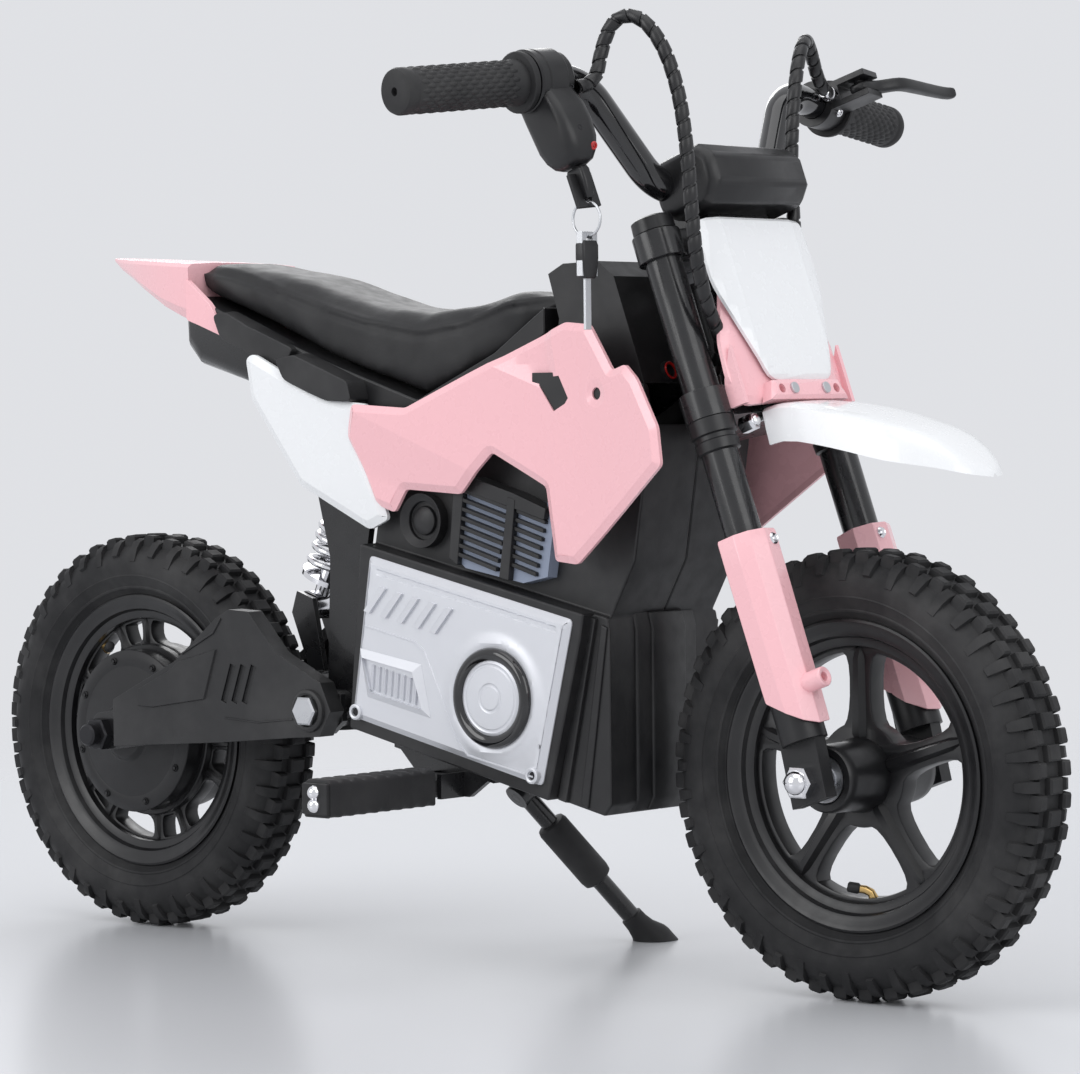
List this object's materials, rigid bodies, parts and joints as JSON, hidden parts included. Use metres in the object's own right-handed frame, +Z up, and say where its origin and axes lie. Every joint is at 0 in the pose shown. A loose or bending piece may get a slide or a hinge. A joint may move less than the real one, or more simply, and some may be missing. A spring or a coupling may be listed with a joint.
{
  "type": "kids electric motorbike",
  "caption": "Small electric dirt bike for a child: knobbly tyres, sprung fork and swingarm, hub motor, battery box, long seat, twist throttle, side stand.",
  "frame": {"origin": "on the ground in the centre plane, half way between the two axles", "axes": "+X forwards, +Y to the rider's left, +Z up"},
  "size_m": [1.0034, 0.5594, 0.6787],
  "materials": {
    "tyre": "moulded, matte",
    "black_rim": "satin moulded",
    "bearing_steel": "ground",
    "zinc_steel": "zinc plated",
    "dark_steel": "blackened",
    "black_cast": "black coated casting",
    "black_paint": "gloss powder coat",
    "black_plastic": "fine moulded grain",
    "gloss_black": "polished",
    "silver_plastic": "silver painted",
    "pink_plastic": "gloss moulded",
    "white_plastic": "gloss moulded",
    "vinyl": "smooth vinyl",
    "rubber": "matte",
    "bright_steel": "plated",
    "black_metal": "satin",
    "cable_wrap": "spiral wrap",
    "key_steel": "plain"
  },
  "bodies": {
    "frame": {"main_frame": "black_paint", "casing_right": "black_plastic", "casing_left": "black_plastic", "box_covers": "silver_plastic", "badge_rings": "gloss_black", "badge_discs": "silver_plastic", "tank_cover": "black_plastic", "side_panel_right": "pink_plastic", "side_panel_left": "pink_plastic", "rear_panels": "white_plastic", "tail_cowl": "pink_plastic", "tail_box": "black_plastic", "seat_base": "black_plastic", "seat_cushion": "vinyl", "engine_block": "black_plastic", "battery_pack": "black_plastic", "motor_controller": "black_plastic", "footpeg_bracket": "black_paint", "suspension_bolts": "zinc_steel", "headset_bearings": "bearing_steel"},
    "steering": {"steering_stem": "black_paint", "top_yoke": "black_paint", "bottom_yoke": "black_paint", "stanchions": "black_paint", "handlebar": "black_paint", "bar_pad": "rubber", "number_plate": "white_plastic", "front_mask": "pink_plastic", "front_fender": "white_plastic", "mask_screws": "zinc_steel", "throttle_housing": "black_plastic", "left_grip": "rubber", "brake_perch": "black_plastic", "throttle_cable": "cable_wrap", "brake_cable": "cable_wrap"},
    "fork_slider": {"fork_sliders": "black_cast", "fork_guards": "pink_plastic", "front_axle": "zinc_steel"},
    "front_wheel": {"front_tyre": "tyre", "front_rim": "black_rim", "front_bearings": "bearing_steel"},
    "swing": {"swingarm": "black_paint", "swingarm_covers": "black_plastic", "rear_axle": "dark_steel", "motor_stator": "dark_steel", "brake_caliper": "dark_steel"},
    "rear_wheel": {"rear_tyre": "tyre", "rear_rim": "black_rim", "hub_motor_case": "black_cast", "brake_disc": "zinc_steel"},
    "shock_top": {"shock_body": "bright_steel", "shock_spring": "bright_steel"},
    "shock_bottom": {"shock_rod": "bright_steel"},
    "throttle": {"throttle_grip": "rubber"},
    "lever": {"brake_lever": "black_metal"},
    "key": {"ignition_key": "key_steel"},
    "hanging_key": {"spare_key": "key_steel"},
    "stand": {"kickstand": "black_paint"},
    "peg_right": {"footpeg_right": "rubber"},
    "peg_left": {"footpeg_left": "rubber"}
  },
  "joints": [
    {"name": "steering_turn", "type": "hinge", "parent": "frame", "child": "steering", "pos_m": [0.21527, 0, 0.4477], "axis": [-0.342, 0, 0.9397], "range_deg": [-30, 30]},
    {"name": "fork_travel", "type": "slide", "parent": "steering", "child": "fork_slider", "axis": [-0.342, 0, 0.9397], "range_m": [0, 0.025], "stiffness_N_per_m": 8000, "springref_m": -0.02},
    {"name": "front_wheel_spin", "type": "hinge", "parent": "fork_slider", "child": "front_wheel", "pos_m": [0.3467, 0, 0.155], "axis": [0, 1, 0], "continuous": true},
    {"name": "swingarm_pivot", "type": "hinge", "parent": "frame", "child": "swing", "pos_m": [-0.108, 0, 0.184], "axis": [0, 1, 0], "range_deg": [0, 6], "stiffness_Nm_per_rad": 400, "springref_deg": -8.59},
    {"name": "rear_wheel_spin", "type": "hinge", "parent": "swing", "child": "rear_wheel", "pos_m": [-0.3467, 0, 0.155], "axis": [0, 1, 0], "continuous": true},
    {"name": "shock_eye_turn", "type": "hinge", "parent": "frame", "child": "shock_top", "pos_m": [-0.119, 0, 0.366], "axis": [0, 1, 0], "range_deg": [-5, 5]},
    {"name": "shock_travel", "type": "slide", "parent": "shock_top", "child": "shock_bottom", "axis": [0.4338, 0, 0.901], "range_m": [-0.001, 0.013], "deforming": ["shock_spring"]},
    {"name": "throttle_twist", "type": "hinge", "parent": "steering", "child": "throttle", "pos_m": [0.16894, -0.272, 0.61707], "axis": [-0.1418, -0.985, -0.0983], "range_deg": [0, 70], "stiffness_Nm_per_rad": 0.3, "springref_deg": -5.73},
    {"name": "brake_lever_pull", "type": "hinge", "parent": "steering", "child": "lever", "pos_m": [0.21615, 0.17579, 0.63882], "axis": [-0.3417, 0.0445, 0.9388], "range_deg": [0, 18], "stiffness_Nm_per_rad": 0.6, "springref_deg": -11.46},
    {"name": "key_turn", "type": "hinge", "parent": "steering", "child": "key", "pos_m": [0.21566, -0.1475, 0.56968], "axis": [-0.3417, -0.0445, 0.9388], "range_deg": [0, 90]},
    {"name": "key_ring_swing", "type": "hinge", "parent": "key", "child": "hanging_key", "pos_m": [0.22352, -0.14647, 0.54809], "axis": [0.9291, -0.1667, 0.3302], "range_deg": [-25, 25]},
    {"name": "stand_fold", "type": "hinge", "parent": "frame", "child": "stand", "pos_m": [-0.018, 0.06, 0.118], "axis": [0.1851, 0.7404, 0.6462], "range_deg": [0, 95], "stiffness_Nm_per_rad": 1.5, "springref_deg": -22.92},
    {"name": "peg_fold_right", "type": "hinge", "parent": "frame", "child": "peg_right", "pos_m": [0.021, -0.08, 0.136], "axis": [-1, 0, 0], "range_deg": [0, 50]},
    {"name": "peg_fold_left", "type": "hinge", "parent": "frame", "child": "peg_left", "pos_m": [0.021, 0.08, 0.136], "axis": [1, 0, 0], "range_deg": [0, 50]}
  ],
  "couplings": [
    {"joint": "shock_eye_turn", "follows": "swingarm_pivot", "ratio": -0.37973},
    {"joint": "shock_travel", "follows": "swingarm_pivot", "m_per_rad": 0.086526}
  ]
}
